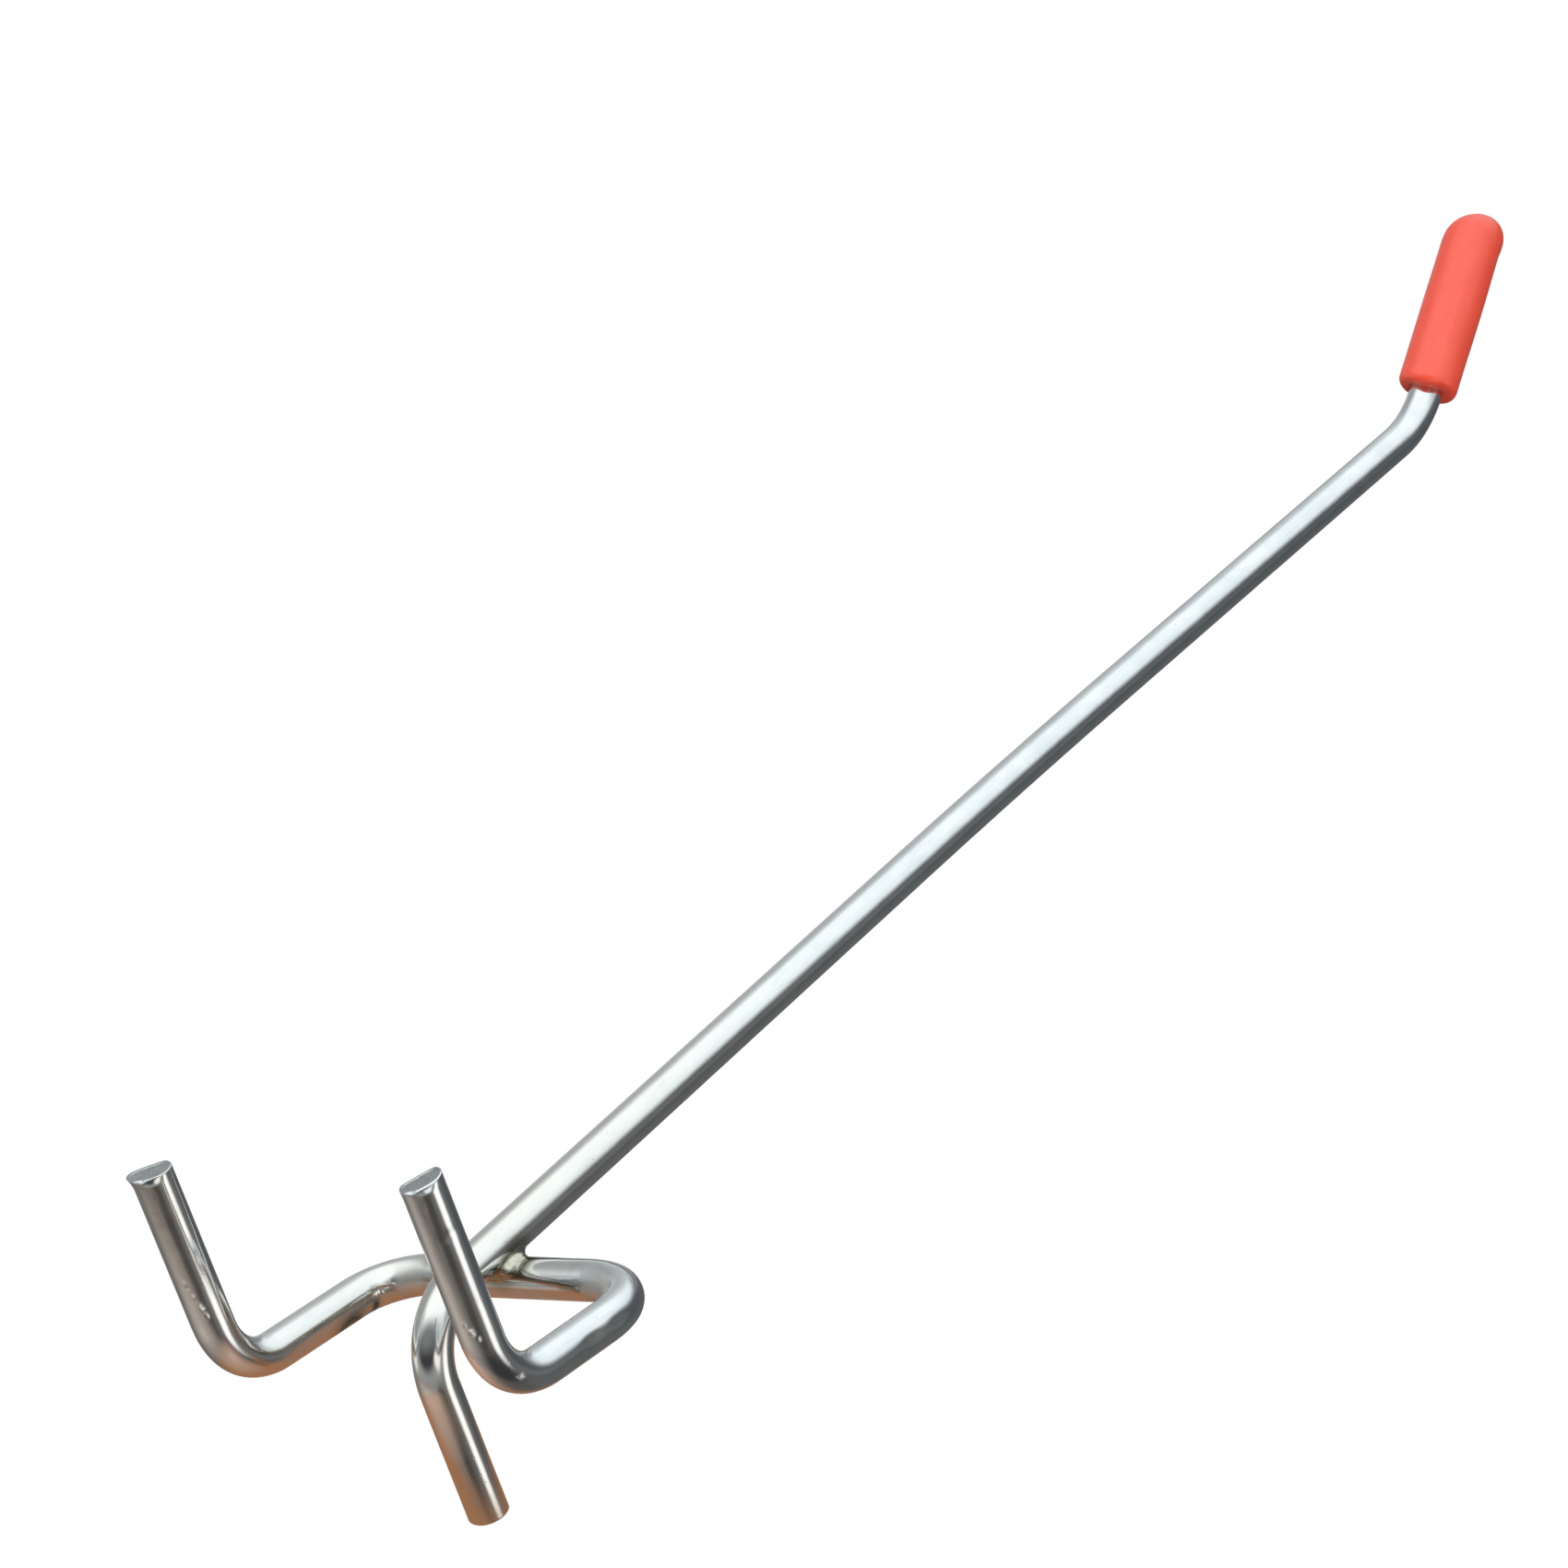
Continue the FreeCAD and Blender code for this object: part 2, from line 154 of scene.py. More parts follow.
def cut_end(centre, out, n, b, angles, flare, bevel, reach, face, pinch=(), slant=(0.0, 0.0), nicks=(), wall=22, round_rows=8, rings=11):
    """Rows of a sheared wire end, from reach below it to the middle of its face.

    flare and bevel are per angle; pinch is a list of (angle, distance, length) of the flats that the shear left;
    slant is (angle of the high side, drop across the end); nicks are marks measured from the end down;
    face(x, y) is how deep the face lies."""
    ray = np.cos(angles)[:, None] * n + np.sin(angles)[:, None] * b
    rows, cut = [], []
    turn = math.radians(slant[0])

    def radius(e):
        r = WIRE + flare * np.clip(1 - e / 0.95, 0, 1) ** 1.6
        for degrees, away, length in pinch:
            chord = away / np.maximum(np.cos(angles - math.radians(degrees)), 0.05)
            flat = -np.log(np.exp(-9 * r) + np.exp(-9 * chord)) / 9
            r = r + np.minimum(flat - r, 0) * np.clip(1 - e / length, 0, 1) ** 1.5
        return r - np.clip(dents(e, angles, nicks), 0.0, 0.3)

    def drop(r):
        return slant[1] * 0.5 * (1 - r * np.cos(angles - turn) / WIRE)

    for k in range(wall):
        e = reach + (bevel - reach) * k / wall
        rows.append((e, radius(e)))
        cut.append(0.0)
    edge = radius(bevel)
    for k in range(round_rows):
        q = k / (round_rows - 1)
        a = math.pi / 2 * q
        fall, draw = 0.8 * q + 0.2 * math.sin(a), 0.8 * q + 0.2 * (1 - math.cos(a))
        rows.append((bevel * (1 - fall), edge - bevel * draw))
        cut.append(max(0.0, q * 4.0 - 3.0))
    inner = edge - bevel
    for k in range(1, rings):
        q = 1 - k / rings
        rows.append((None, inner * q))
        cut.append(1.0)
    made = []
    for e, r in rows:
        if e is None:
            fade = np.clip((1 - r / inner) * 6, 0, 1)
            e = face(r * np.cos(angles), r * np.sin(angles)) * fade + drop(r)
        else:
            e = e + drop(r) * np.clip(1 - e / reach, 0, 1)
        made.append(centre + ray * np.broadcast_to(r, angles.shape)[:, None] - out * np.broadcast_to(e, angles.shape)[:, None])
    pole = centre - out * (float(face(np.zeros(1), np.zeros(1))[0]) + slant[1] * 0.5)
    return np.array(made), pole, np.array(cut)


def lofted(name, rows, poles, flow, strips=1):
    """A closed mesh through rows of points with a pole at each end. flow is one (x, y, along) triple per row point, kept for the materials. The UV map lays the skin out in side-by-side strips."""
    rows = np.asarray(rows)
    n, m = rows.shape[:2]
    verts = np.concatenate([rows.reshape(-1, 3), np.array(poles)]) * MM
    i, j = np.meshgrid(np.arange(n - 1), np.arange(m), indexing="ij")
    j2 = (j + 1) % m
    quads = np.stack([i * m + j, i * m + j2, (i + 1) * m + j2, (i + 1) * m + j], -1).reshape(-1, 4)
    a = np.arange(m)
    first = np.stack([np.full(m, n * m), (a + 1) % m, a], -1)
    last = np.stack([np.full(m, n * m + 1), (n - 1) * m + a, (n - 1) * m + (a + 1) % m], -1)
    tris = np.concatenate([first, last])
    p = verts
    q = quads
    vol = np.einsum("ij,ij->i", p[q[:, 0]], np.cross(p[q[:, 1]], p[q[:, 2]])).sum()
    vol += np.einsum("ij,ij->i", p[q[:, 0]], np.cross(p[q[:, 2]], p[q[:, 3]])).sum()
    flip = vol < 0
    # UV map: strips of equal length side by side, in true proportion along and around
    along = np.r_[0, np.cumsum(np.linalg.norm(np.diff(rows.mean(1), axis=0), axis=1) + np.abs(np.diff(np.linalg.norm(rows - rows.mean(1)[:, None], axis=2).mean(1))))]
    share = np.minimum((along / along[-1] * strips).astype(int), strips - 1)
    strip = share[i.reshape(-1)]
    pad = 0.03 / strips
    u0 = (strip + 0.0) / strips + pad
    width = 1 / strips - 2 * pad
    step = along[-1] / strips

    def uv(ring, col):
        v = (along[ring] - strip * step) / step
        return np.stack([u0 + width * col / m, 0.02 + 0.96 * np.clip(v, 0, 1)], -1)

    ii, jj = i.reshape(-1), j.reshape(-1)
    quad_uv = np.stack([uv(ii, jj), uv(ii, jj + 1), uv(ii + 1, jj + 1), uv(ii + 1, jj)], 1)
    tri_uv = np.zeros((2 * m, 3, 2))
    for part, v, s in ((0, 0.004, 0), (1, 0.996, strips - 1)):
        inner = 0.02 if part == 0 else 0.98
        base = s / strips + pad
        col = np.arange(m)
        tri_uv[part * m + col, 0] = np.stack([base + width * (col + 0.5) / m, np.full(m, v)], -1)
        x0 = np.stack([base + width * col / m, np.full(m, inner)], -1)
        x1 = np.stack([base + width * (col + 1) / m, np.full(m, inner)], -1)
        tri_uv[part * m + col, 1] = x1 if part == 0 else x0
        tri_uv[part * m + col, 2] = x0 if part == 0 else x1
    if flip:
        quads, quad_uv = quads[:, ::-1], quad_uv[:, ::-1]
        tris, tri_uv = tris[:, ::-1], tri_uv[:, ::-1]
    mesh = bpy.data.meshes.new(name)
    mesh.from_pydata(verts.tolist(), [], quads.tolist() + tris.tolist())
    layer = mesh.uv_layers.new(name="OFBake")
    layer.data.foreach_set("uv", np.concatenate([quad_uv.reshape(-1, 2), tri_uv.reshape(-1, 2)]).astype(np.float32).ravel())
    attr = mesh.attributes.new("flow", "FLOAT_VECTOR", "POINT")
    f = np.asarray(flow).reshape(-1, 3)
    ends = np.stack([np.r_[0, 0, f[:m, 2].mean()], np.r_[0, 0, f[-m:, 2].mean()]])
    attr.data.foreach_set("vector", np.concatenate([f, ends]).astype(np.float32).ravel())
    mesh.polygons.foreach_set("use_smooth", np.ones(len(mesh.polygons), bool))
    mesh.update()
    ob = bpy.data.objects.new(name, mesh)
    scene.collection.objects.link(ob)
    return ob


def point_values(ob, name, values):
    attr = ob.data.attributes.new(name, "FLOAT", "POINT")
    attr.data.foreach_set("value", np.asarray(values, np.float32))


def places(ob):
    out = np.empty(len(ob.data.vertices) * 3, np.float32)
    ob.data.vertices.foreach_get("co", out)
    return out.reshape(-1, 3) / MM


def wire_skin(name, line, first, sides, marks, scuffs_and_glints, flatten, seed, ends, strips, pressing=((0, 0),), painted_dark_reflection=()):
    """The skin of one bent wire: flattened on the outside of its bends, marked by the bender, sheared at its ends.

    The pale spots are given as marks of depth 0 to 1: partly plating scraped pale, partly painted highlights in place
    of glints. Along the lengths in pressing, the inside of a bend is dulled by the former. The painted dark reflection,
    dark olive where dark surroundings would be seen in the undersides, is given like the pale spots."""
    points, tangents, bends, length = line
    angles = np.linspace(0, 2 * math.pi, sides, endpoint=False)
    n, b = carried(tangents, first)
    tight = np.linalg.norm(bends, axis=1) > 0.02
    pull = softened(bends * tight[:, None], length, 0.9)
    ray = np.cos(angles)[None, :, None] * n[:, None] + np.sin(angles)[None, :, None] * b[:, None]
    side = np.einsum("ijk,ik->ij", ray, pull)  # + inside the bend, - outside
    depth = flatten * np.clip(-side / 0.2, 0, 1.3) ** 2
    crimp = np.clip(side / 0.2, 0, 1.3) ** 2
    depth += 0.012 * crimp
    s, a = length[:, None], angles[None, :]
    depth += dents(s, a, marks) + np.abs(ripple(s, a, 0.0045, seed))
    skin = points[:, None] + ray * (WIRE - np.clip(depth, 0.0, 0.5))[..., None]
    flow = np.stack(np.broadcast_arrays(WIRE * np.cos(a), WIRE * np.sin(a), s), -1)
    total = length[-1]
    r0, r1 = ends[0]["reach"], ends[1]["reach"]
    keep = (length > r0 + 0.02) & (length < total - r1 - 0.02)
    rows, flows = [skin[keep]], [flow[keep]]
    top, pole0, cut0 = cut_end(points[0], -tangents[0], n[0], b[0], angles, **ends[0])
    low, pole1, cut1 = cut_end(points[-1], tangents[-1], n[-1], b[-1], angles, **ends[1])
    top, cut0 = top[::-1], cut0[::-1]
    flow_at = lambda pts, axis, origin, start: np.stack([(pts - origin) @ n_, (pts - origin) @ b_, start + (pts - origin) @ axis], -1)
    n_, b_ = n[0], b[0]
    flows.insert(0, flow_at(top, tangents[0], points[0], 0.0))
    n_, b_ = n[-1], b[-1]
    flows.append(flow_at(low, tangents[-1], points[-1], total))
    rows.insert(0, top)
    rows.append(low)
    ob = lofted(name, np.concatenate(rows), [pole0, pole1], np.concatenate(flows), strips)
    cut = np.repeat(np.r_[cut0, np.zeros(int(keep.sum())), cut1], sides)
    point_values(ob, "cut", np.r_[cut, 1.0, 1.0])
    worn = sum(np.clip((s - lo) / 0.8, 0, 1) * np.clip((hi - s) / 0.8, 0, 1) for lo, hi in pressing)
    pressed = (np.clip(side / 0.15, 0, 1) ** 1.2 * worn)[keep].ravel()
    point_values(ob, "pressed", np.r_[np.zeros(len(cut0) * sides), pressed, np.zeros(len(cut1) * sides + 2)])
    # pale spots: partly plating scraped pale, partly painted highlights standing in for glints
    pale = dents(s, a, scuffs_and_glints)[keep].ravel()
    point_values(ob, "scuff_and_glint", np.clip(np.r_[np.zeros(len(cut0) * sides), pale, np.zeros(len(cut1) * sides + 2)], 0, 1))
    # painted dark reflection: marks where the skin gets a dark olive colour in place of dark surroundings seen in
    # reflection
    dark = dents(s, a, painted_dark_reflection)[keep].ravel()
    point_values(ob, "painted_dark_reflection", np.clip(np.r_[np.zeros(len(cut0) * sides), dark, np.zeros(len(cut1) * sides + 2)], 0, 1))
    return ob


def bell(angles, degrees, width):
    return np.exp(-((wrapped(angles - math.radians(degrees)) / math.radians(width)) ** 2))


def sheared_face(turn, step, rough, seed):
    """Depth of a sheared face: a smooth cut part, a lower torn part beyond a crooked line, and grain."""

    def depth(x, y):
        p = x * math.cos(turn) + y * math.sin(turn)
        q = -x * math.sin(turn) + y * math.cos(turn)
        line = 0.25 + 0.18 * np.sin(2.1 * q + seed) + 0.08 * np.sin(5.3 * q + 2 * seed)
        torn = 1 / (1 + np.exp(-(p - line) * 9))
        grain = np.sin(9 * p + 4 * q + seed) + np.sin(-5 * p + 11 * q + 2.2 * seed) + np.sin(15 * p - 7 * q)
        return 0.02 + step * torn + rough * torn * (0.5 + 0.5 * grain / 3) + 0.006 * (1 + np.sin(22 * q))

    return depth


SIDES_PEG, SIDES_ARM = 96, 64
peg_line = route(
    [
        (-HALF_PITCH, ELBOW_Y, PEG_TOP),
        (-HALF_PITCH, ELBOW_Y, ELBOW_Z),
        (-HALF_PITCH, BAR_Y, BAR_Z),
        (HALF_PITCH, BAR_Y, BAR_Z),
        (HALF_PITCH, ELBOW_Y, ELBOW_Z),
        (HALF_PITCH, ELBOW_Y, PEG_TOP),
    ],
    [4.5, 4.3, 6.2, 4.5],
    0.13,
    0.1,
)
peg_total = peg_line[3][-1]
peg_angles = np.linspace(0, 2 * math.pi, SIDES_PEG, endpoint=False)
# around the wire: 0 is +X at the left peg's top; the marks' angles are read from the first normal carried along
peg_marks = [
    # left peg: a long flat below the middle, its upper edge, and small nicks on the near side
    (9.6, 12.0, 2.6, 1.0, 0.015),
    (6.45, 0.0, 0.7, 1.1, 0.012),
    (8.15, 68.0, 0.20, 0.11, 0.018),
    (9.20, 60.0, 0.15, 0.12, 0.020),
    (10.15, 51.0, 0.24, 0.14, 0.026),
    (10.75, 45.0, 0.17, 0.12, 0.022),
    # left corner: two lines pinched across the wire by the bending jaws
    (27.7, 46.0, 0.16, 0.80, 0.050),
    (29.3, 38.0, 0.20, 0.95, 0.055),
    (30.5, 40.0, 0.14, 0.80, 0.030),
    # cross bar, right corner and right leg: flats and lines left by the bending jaws
    (44.5, -60.0, 3.2, 0.14, 0.006),
    (46.0, -40.0, 2.6, 0.12, 0.006),
    (47.2, -86.0, 1.9, 0.60, 0.010),
    (54.9, -160.0, 1.6, 0.55, 0.050),
    (56.7, 165.0, 1.2, 0.50, 0.060),
    (58.9, 190.0, 1.0, 0.50, 0.105),
    (61.7, 186.0, 1.2, 0.45, 0.095),
    (60.2, 152.0, 2.4, 0.16, 0.020),
    (63.3, 160.0, 1.2, 0.30, 0.030),
    # right elbow and peg
    (73.40, 130.0, 0.18, 0.15, 0.028),
    (74.05, 119.0, 0.24, 0.18, 0.034),
    (74.60, 105.0, 0.18, 0.14, 0.026),
    (71.2, 78.0, 0.55, 0.35, 0.040),
    (80.9, 152.0, 0.42, 0.80, 0.040),
    (79.7, 112.0, 1.4, 0.40, 0.012),
]
# pale spots: partly plating scraped pale, partly painted highlights where glints sit, as on the right elbow
peg_scuffs_and_glints = [
    (7.95, 70.0, 0.22, 0.05, 0.40),
    (8.55, 66.0, 0.13, 0.08, 0.40),
    (9.15, 61.0, 0.17, 0.10, 0.60),
    (9.55, 57.0, 0.18, 0.04, 0.35),
    (10.05, 52.0, 0.26, 0.10, 0.75),
    (10.22, 47.0, 0.14, 0.13, 0.65),
    (10.55, 48.0, 0.18, 0.07, 0.55),
    (10.85, 43.0, 0.22, 0.09, 0.65),
    (69.25, 165.0, 0.24, 0.22, 0.62),
    (69.55, 158.0, 0.20, 0.07, 0.35),
    (73.30, 132.0, 0.20, 0.10, 0.60),
    (73.85, 122.0, 0.27, 0.13, 0.80),
    (74.08, 115.0, 0.14, 0.16, 0.65),
    (74.40, 110.0, 0.18, 0.07, 0.50),
    (74.75, 103.0, 0.20, 0.06, 0.45),
    (71.6, 88.0, 0.34, 0.06, 0.30),
    (77.3, 104.0, 0.60, 0.04, 0.22),
    (4.4, 62.0, 0.55, 0.04, 0.22),
]
peg_wire = wire_skin(
    "peg_wire_plated",
    peg_line,
    (1, 0, 0),
    SIDES_PEG,
    peg_marks,
    peg_scuffs_and_glints,
    0.11,
    1.3,
    [
        dict(
            flare=0.37 * bell(peg_angles, 154, 26),
            bevel=0.05 + 0.24 * bell(peg_angles, 80, 17),
            reach=2.2,
            face=sheared_face(3.9, 0.06, 0.03, 0.7),
            pinch=[(48, 1.36, 0.60), (228, 1.08, 0.95)],
            nicks=[(1.3, 52.0, 0.5, 0.16, 0.020)],
        ),
        dict(
            flare=0.05 * bell(peg_angles, 45, 30),
            bevel=0.05 + 0.05 * bell(peg_angles, 140, 60) + 0.20 * bell(peg_angles, 100, 18),
            reach=2.2,
            face=sheared_face(5.5, 0.06, 0.03, 1.9),
            pinch=[(143, 1.38, 0.60), (323, 0.82, 0.95)],
            slant=(230, 0.34),
            nicks=[(1.4, 120.0, 0.6, 0.18, 0.016)],
        ),
    ],
    4,
    pressing=((31.0, 37.0), (49.0, 60.0)),
    # painted dark reflection: dark olive patches on the underside by the left corner, standing in for dark surroundings
    # reflected there
    painted_dark_reflection=[(25.75, 62.0, 1.45, 1.25, 1.9), (28.65, 58.0, 0.50, 1.20, 1.7), (31.6, 60.0, 1.4, 0.6, 0.20)],
)

arm_cz = ARM_Z + (DROP_Y - BAR_Y) * 2 * CAMBER / ARM_RUN
arm_line = route(
    [
        (ARM_X, DROP_Y, ARM_Z - DROP),
        (ARM_X, DROP_Y, arm_cz),
        (ARM_X, BAR_Y + ARM_RUN / 2, ARM_Z + CAMBER),
        (ARM_X, TIP_Y, ARM_Z),
        tuple(TIP_CORNER + TIP_DIR * WIRE_END),
    ],
    [5.5, 1500.0, 13.5],
    0.24,
    0.13,
)
arm_angles = np.linspace(0, 2 * math.pi, SIDES_ARM, endpoint=False)
arm_marks = [
    (60.0, 30.0, 2.4, 0.3, 0.012),
    (96.0, -40.0, 1.8, 0.3, 0.012),
    (133.0, 60.0, 2.0, 0.25, 0.010),
]
arm_wire = wire_skin(
    "arm_wire_plated",
    arm_line,
    (1, 0, 0),
    SIDES_ARM,
    arm_marks,
    [(14.6, 150.0, 0.5, 0.10, 0.25), (88.0, -20.0, 0.9, 0.05, 0.22), (121.0, 15.0, 0.7, 0.05, 0.20)],
    0.10,
    4.1,
    [
        dict(flare=0 * arm_angles, bevel=0.16 + 0.1 * bell(arm_angles, 200, 70), reach=0.7, face=sheared_face(1.1, 0.05, 0.03, 2.6)),
        dict(flare=0 * arm_angles, bevel=0.15 + 0 * arm_angles, reach=0.7, face=sheared_face(0.3, 0.03, 0.02, 3.3)),
    ],
    5,
)

WELD = np.array([ARM_X + 0.4, BAR_Y, -0.05])
for ob in (peg_wire, arm_wire):
    p = places(ob)
    near = np.exp(-((np.linalg.norm((p - WELD) * [0.8, 1.0, 1.0], axis=1) / 3.0) ** 2))
    point_values(ob, "heat", near)
    # painted shade: a narrow region round the weld, marked to darken the wires where shade falls in the creases beside
    # the bead
    point_values(ob, "painted_crease_shade", np.exp(-((np.linalg.norm((p - WELD) * [0.9, 1.0, 1.1], axis=1) / 2.15) ** 8)))
    # painted warm reflection: a broad region over the base of the hook, marked to tint the plating warmer in place of
    # warm surroundings seen in it
    point_values(ob, "warm", np.exp(-(((p[:, 0] + 5) / 9) ** 2) - ((p[:, 1] - 14) / 30) ** 2))


# ------------------------------------------------------------------ weld: metal run into the corners between the two wires
def blended(a, b, k):
    """The smaller of two distances, rounded off over k where they are alike."""
    h = np.clip(k - np.abs(a - b), 0, None) / k
    return np.minimum(a, b) - h * h * k / 4


# (middle, half sizes, turn about Z in degrees) of the lumps in the bead
weld_lumps = [
    ((ARM_X + 1.22, BAR_Y - 0.80, -0.05), (0.50, 0.80, 0.40), 10),
    ((ARM_X + 0.15, BAR_Y - 1.32, -0.32), (0.75, 0.28, 0.26), 4),
    ((ARM_X - 1.22, BAR_Y - 0.60, -0.08), (0.44, 0.75, 0.36), -8),
]


def weld_depth(p):
    """About the distance in millimetres from the bead's surface, negative inside."""
    x, y, z = p[..., 0], p[..., 1], p[..., 2]
    far = np.sqrt((x - ARM_X) ** 2 + (y - BAR_Y) ** 2 + (z + 0.05) ** 2)
    q = np.clip((far - 1.8) / 0.9, 0, 1)
    sink = 0.05 + 0.30 * q * q * (3 - 2 * q)  # under the wires' own skin, more so away from the crossing
    arm = np.hypot(x - ARM_X, z - ARM_Z - 0.01 * (y - BAR_Y)) - WIRE + sink
    bar = np.hypot(y - BAR_Y, z - BAR_Z) - WIRE + sink
    uneven = np.sin(2.3 * x + 1.1 * y + 0.4) + np.sin(-1.7 * x + 2.9 * y + 2.0) + np.sin(3.3 * x - 2.1 * y + 1.2 * z)
    d = blended(arm, bar, 1.20 + 0.09 * uneven)
    for middle, half, turn in weld_lumps:
        c, s = math.cos(math.radians(turn)), math.sin(math.radians(turn))
        u, v = x - middle[0], y - middle[1]
        e = np.sqrt(((u * c + v * s) / half[0]) ** 2 + ((v * c - u * s) / half[1]) ** 2 + ((z - middle[2]) / half[2]) ** 2)
        d = blended(d, (e - 1) * min(half), 0.5)
    limit = np.sqrt(((x - ARM_X) / 2.55) ** 2 + ((y - BAR_Y) / 2.4) ** 2 + ((z + 0.05) / 1.3) ** 2) - 1
    return np.maximum(d, 1.3 * limit)


def surface_net(depth, low, high, cell):
    """Points and quads of the closed surface depth(p) = 0 inside a box."""
    axes = [np.arange(a, b + cell, cell) for a, b in zip(low, high)]
    grid = np.stack(np.meshgrid(*axes, indexing="ij"), -1)
    inside = depth(grid) < 0
    size = np.array(inside.shape) - 1
    count = np.zeros(size, int)
    for i in (0, 1):
        for j in (0, 1):
            for k in (0, 1):
                count += inside[i : i + size[0], j : j + size[1], k : k + size[2]]
    cells = (count > 0) & (count < 8)
    index = np.full(tuple(size), -1)
    index[cells] = np.arange(cells.sum())
    points = grid[:-1, :-1, :-1][cells] + cell / 2
    quads = []
    for axis in range(3):
        p, q = (axis + 1) % 3, (axis + 2) % 3
        here = np.moveaxis(inside, (axis, p, q), (0, 1, 2))
        cell_at = np.moveaxis(index, (axis, p, q), (0, 1, 2))
        first, second = here[:-1, 1:-1, 1:-1], here[1:, 1:-1, 1:-1]
        i, j, k = np.nonzero(first != second)
        ring = np.stack([cell_at[i, j, k], cell_at[i, j + 1, k], cell_at[i, j + 1, k + 1], cell_at[i, j, k + 1]], -1)
        leaving = first[i, j, k]
        quads.append(np.where(leaving[:, None], ring, ring[:, ::-1]))
    quads = np.concatenate(quads)

    def settled(points):
        for _ in range(4):
            f = depth(points)
            slope = np.stack([depth(points + h) - depth(points - h) for h in np.eye(3) * 0.01], -1) / 0.02
            move = f[:, None] * slope / np.maximum((slope**2).sum(1), 0.05)[:, None]
            points = points - np.clip(move, -cell, cell)
        return points

    for _ in range(6):
        total, share = np.zeros_like(points), np.zeros(len(points))
        middle = points[quads].mean(1)
        for k in range(4):
            np.add.at(total, quads[:, k], middle)
            np.add.at(share, quads[:, k], 1)
        points = settled(0.4 * points + 0.6 * total / share[:, None])
    return points, quads


weld_points, weld_quads = surface_net(
    weld_depth, (ARM_X - 2.8, BAR_Y - 2.7, -1.6), (ARM_X + 2.8, BAR_Y + 2.7, 1.5), 0.065
)
weld_mesh = bpy.data.meshes.new("weld_metal")
weld_mesh.from_pydata((weld_points * MM).tolist(), [], weld_quads.tolist())
weld_mesh.polygons.foreach_set("use_smooth", np.ones(len(weld_mesh.polygons), bool))
weld_mesh.update()
weld = bpy.data.objects.new("weld_metal", weld_mesh)
scene.collection.objects.link(weld)


# ------------------------------------------------------------------ tip cap: a dipped sleeve with a rolled rim and a domed end
def cap_profile():
    """(along from the tip's corner, radius) from the bore's end, out round the rim and over the dome."""
    bore, outer = 1.5, 2.74
    out = [(WIRE_END - 0.05, bore * k / 5) for k in range(1, 5)]
    out += [(WIRE_END - 0.05 + (CAP_RIM + 0.05 - WIRE_END) * k / 40, bore) for k in range(41)]
    for k in range(1, 7):
        a = math.pi / 2 * k / 6
        out.append((CAP_RIM + 0.05 * (1 - math.sin(a)), bore + 0.05 * (1 - math.cos(a))))
    for k in range(1, 4):
        out.append((CAP_RIM, 1.55 + 0.54 * k / 4))
    for k in range(0, 13):
        a = math.pi / 2 * k / 12
        out.append((CAP_RIM + 0.65 * (1 - math.cos(a)), 2.09 + 0.65 * math.sin(a)))
    start, end = CAP_RIM + 0.65, CAP_END - 2.9
    for k in range(1, 71):
        out.append((start + (end - start) * k / 70, outer))
    for k in range(1, 40):
        a = math.pi / 2 * k / 40
        # a dome a little fuller than an ellipse
        out.append((end + 2.86 * math.sin(a), outer * (1 - math.sin(a) ** 2.1) ** (1 / 2.1)))
    return out


profile = cap_profile()
CAP_SIDES = 96
cap_angles = np.linspace(0, 2 * math.pi, CAP_SIDES, endpoint=False)
u_axis, v_axis = np.array([1.0, 0, 0]), np.cross(TIP_DIR, np.array([1.0, 0, 0]))
CAP_LEAN = 0.55 * (math.cos(math.radians(30)) * u_axis + math.sin(math.radians(30)) * v_axis)
rows, flow = [], []
for s, r in profile:
    t = (s - CAP_RIM) / (CAP_END - CAP_RIM)
    outside = r > 1.6
    swell = 0.0
    if outside:
        swell = -0.035 * (0.5 + 0.5 * np.sin(3 * cap_angles + 5 * t)) - 0.03 * (0.5 + 0.5 * math.sin(9.0 * t + 0.6))
        swell = swell * min(1.0, r / 2.74)
    droop = 0.03 * np.sin(3 * cap_angles + 0.8) + 0.05 - 0.30 * bell(cap_angles, 40, 62) - 0.80 * bell(cap_angles, -62, 64)
    droop = droop * math.exp(-(((s - CAP_RIM) / 1.2) ** 2))
    ray = np.cos(cap_angles)[:, None] * u_axis + np.sin(cap_angles)[:, None] * v_axis
    lean = CAP_LEAN * max(0.0, (s - (CAP_END - 3.6)) / 3.6) ** 1.5 * (1 if outside or s > WIRE_END else 0)
    rows.append(TIP_CORNER + lean + ray * (r + swell + 0 * cap_angles)[:, None] + TIP_DIR * (s + droop + 0 * cap_angles)[:, None])
    flow.append(np.stack([r * np.cos(cap_angles), r * np.sin(cap_angles), np.full(CAP_SIDES, s)], -1))
cap = lofted(
    "tip_cap_sleeve",
    np.array(rows),
    [TIP_CORNER + TIP_DIR * (WIRE_END - 0.05), TIP_CORNER + CAP_LEAN + TIP_DIR * (CAP_END - 0.012)],
    np.array(flow),
    2,
)


